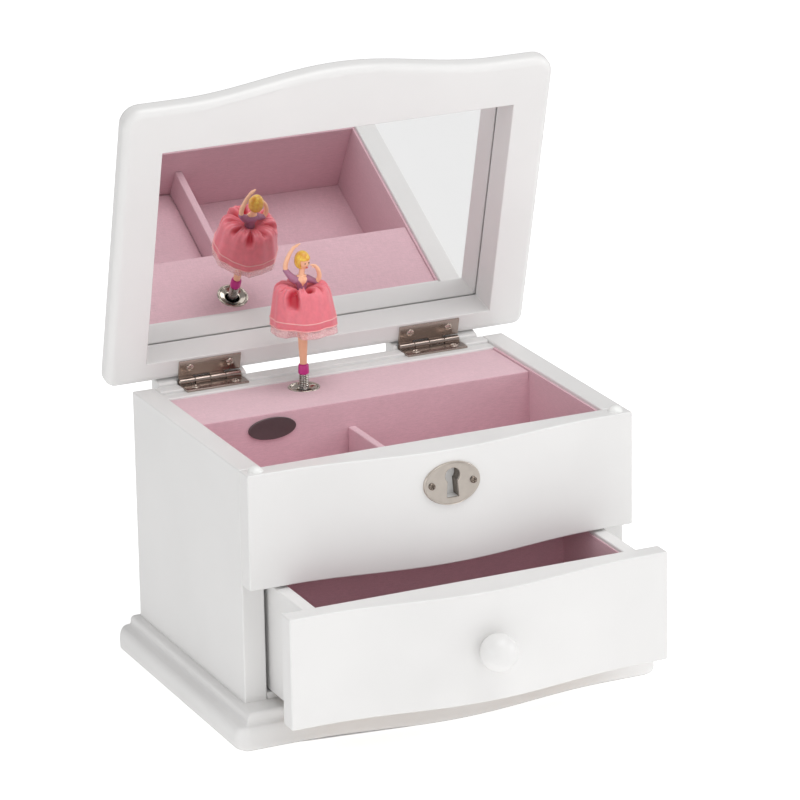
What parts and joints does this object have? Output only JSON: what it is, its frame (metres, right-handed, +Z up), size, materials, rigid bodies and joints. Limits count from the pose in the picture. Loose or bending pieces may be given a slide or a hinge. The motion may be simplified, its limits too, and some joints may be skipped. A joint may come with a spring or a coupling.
{
  "type": "wind-up music box",
  "caption": "Small white wooden jewellery music box with a mirrored hinged lid, a lined tray, a drawer and a turning dancer on a spring, driven by a wind-up comb movement.",
  "frame": {"origin": "middle of the case's footprint on the surface it stands on", "axes": "+Z up, +Y to the back, +X to the right seen from the front"},
  "size_m": [0.1688, 0.1737, 0.2201],
  "materials": {
    "lacquer": "satin white lacquer on wood",
    "felt": "dark felt",
    "bare_board": "bare thin board and card",
    "pink_cloth": "dusty pink cloth lining",
    "nickel": "satin nickel",
    "clear_pad": "clear soft pad",
    "plate": "dark grey bare plate",
    "mirror": "mirror with a bevelled edge",
    "zinc": "plain cast zinc",
    "steel": "hardened steel",
    "brass": "plain brass",
    "figure": "painted moulded plastic",
    "skirt": "coral pink satin and tulle",
    "shoe": "magenta paint"
  },
  "bodies": {
    "case": {"base_felt": "felt", "base_moulding": "lacquer", "bottom_panel": "lacquer", "side_panel_left": "lacquer", "side_panel_right": "lacquer", "back_panel": "lacquer", "hinge_rail": "lacquer", "lid_stop_blocks": "lacquer", "front_panel": "lacquer", "escutcheon": "nickel", "escutcheon_pins": "nickel", "rim_bumpers": "clear_pad", "tray_floor": "bare_board", "movement_wall": "bare_board", "platform": "pink_cloth", "spindle_ring": "nickel", "name_plate": "plate", "tray_divider": "pink_cloth", "raised_floor": "pink_cloth", "lining_sides": "pink_cloth", "lining_front": "pink_cloth", "lining_back": "pink_cloth", "lining_floor": "pink_cloth", "lower_hinge_leaves": "nickel", "hinge_pins": "nickel", "lower_hinge_screws": "nickel", "bedplate": "zinc", "comb": "steel", "comb_screws": "brass", "barrel_bridge": "zinc", "cylinder_bracket": "zinc", "governor_bracket": "zinc", "mounting_screws": "nickel"},
    "lid": {"lid_frame": "lacquer", "lid_top_panel": "lacquer", "mirror_glass": "mirror", "mirror_backing": "bare_board", "upper_hinge_leaves": "nickel", "upper_hinge_screws": "nickel"},
    "drawer": {"drawer_front": "lacquer", "drawer_sides": "lacquer", "drawer_back": "lacquer", "drawer_bottom": "bare_board", "drawer_lining": "pink_cloth", "drawer_knob": "lacquer", "knob_screw": "nickel"},
    "winding_key": {"winding_key": "nickel", "winding_arbor": "steel"},
    "barrel": {"spring_barrel": "brass", "mainspring": "steel"},
    "cylinder": {"tune_cylinder": "brass", "cylinder_arbor": "steel"},
    "governor": {"governor_wheel": "brass"},
    "fan": {"fan_worm": "steel"},
    "dancer_mount": {"dancer_spring": "nickel"},
    "dancer": {"dancer_figure": "figure", "dancer_skirt": "skirt", "dancer_shoe": "shoe"}
  },
  "joints": [
    {"name": "lid_hinge", "type": "hinge", "parent": "case", "child": "lid", "pos_m": [0, 0.0526, 0.1009], "axis": [1, 0, 0], "range_deg": [0, 75.3]},
    {"name": "drawer_slide", "type": "slide", "parent": "case", "child": "drawer", "axis": [0, -1, 0], "range_m": [-0.03, 0.012]},
    {"name": "key_turn", "type": "hinge", "parent": "case", "child": "winding_key", "pos_m": [-0.0154, 0.05275, 0.048], "axis": [0, 1, 0], "range_deg": [0, 1800]},
    {"name": "cylinder_turn", "type": "hinge", "parent": "case", "child": "cylinder", "pos_m": [-0.0154, 0.033, 0.075], "axis": [0, 0, 1], "continuous": true},
    {"name": "barrel_turn", "type": "hinge", "parent": "case", "child": "barrel", "pos_m": [-0.0154, 0.033, 0.048], "axis": [0, 1, 0], "continuous": true},
    {"name": "governor_turn", "type": "hinge", "parent": "case", "child": "governor", "pos_m": [-0.0255, 0.033, 0.08], "axis": [0, 0, 1], "continuous": true},
    {"name": "fan_turn", "type": "hinge", "parent": "case", "child": "fan", "pos_m": [-0.03195, 0.033, 0.0886], "axis": [0, 1, 0], "continuous": true},
    {"name": "dancer_fold", "type": "hinge", "parent": "case", "child": "dancer_mount", "pos_m": [-0.0154, 0.033, 0.1012], "axis": [1, 0, 0], "range_deg": [0, 90.1], "deforming": ["dancer_spring", "dancer_skirt"]},
    {"name": "dancer_turn", "type": "hinge", "parent": "dancer_mount", "child": "dancer", "pos_m": [-0.0154, 0.033, 0.1038], "axis": [0, 0, 1], "continuous": true}
  ],
  "couplings": [
    {"joint": "barrel_turn", "follows": "cylinder_turn", "ratio": -0.2},
    {"joint": "governor_turn", "follows": "cylinder_turn", "ratio": -4},
    {"joint": "fan_turn", "follows": "cylinder_turn", "ratio": -20},
    {"joint": "dancer_turn", "follows": "cylinder_turn", "ratio": 1},
    {"joint": "dancer_fold", "follows": "lid_hinge", "ratio": 1.1952}
  ]
}
